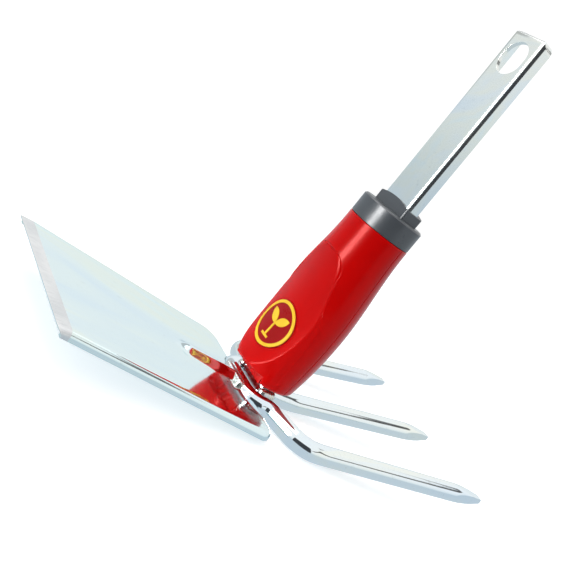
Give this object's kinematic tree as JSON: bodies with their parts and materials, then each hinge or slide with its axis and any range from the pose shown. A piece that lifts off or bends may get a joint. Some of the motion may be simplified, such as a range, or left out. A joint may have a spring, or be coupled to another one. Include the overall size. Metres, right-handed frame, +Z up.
{
  "type": "double hoe head",
  "caption": "Plug-in double hoe head with a flat draw blade, round pointed tines, a moulded grip sleeve and a slotted sheet-steel tang.",
  "frame": {"origin": "on the axis of the handle, in the plane where the handle seats on the end cap", "axes": "+Z up along the tang and the handle's axis, +X towards the blade, Y across the head; Y = 0 is its mirror plane"},
  "size_m": [0.2516, 0.1034, 0.1983],
  "materials": {
    "zinc_steel": "bright blue-passivated zinc, near mirror",
    "weld_metal": "zinc-plated weld, rippled",
    "red_plastic": "satin gloss moulding",
    "grey_plastic": "fine satin moulding",
    "badge_red": "smooth",
    "badge_yellow": "smooth print"
  },
  "bodies": {
    "root": {"tang": "zinc_steel", "end_cap": "grey_plastic", "front_shell": "red_plastic", "rear_shell": "red_plastic", "badge_disc": "badge_red", "badge_emblem": "badge_yellow", "blade": "zinc_steel", "outer_tine_bow": "zinc_steel", "centre_tine": "zinc_steel", "blade_weld": "weld_metal", "bow_weld": "weld_metal", "tine_weld": "weld_metal"}
  },
  "joints": []
}
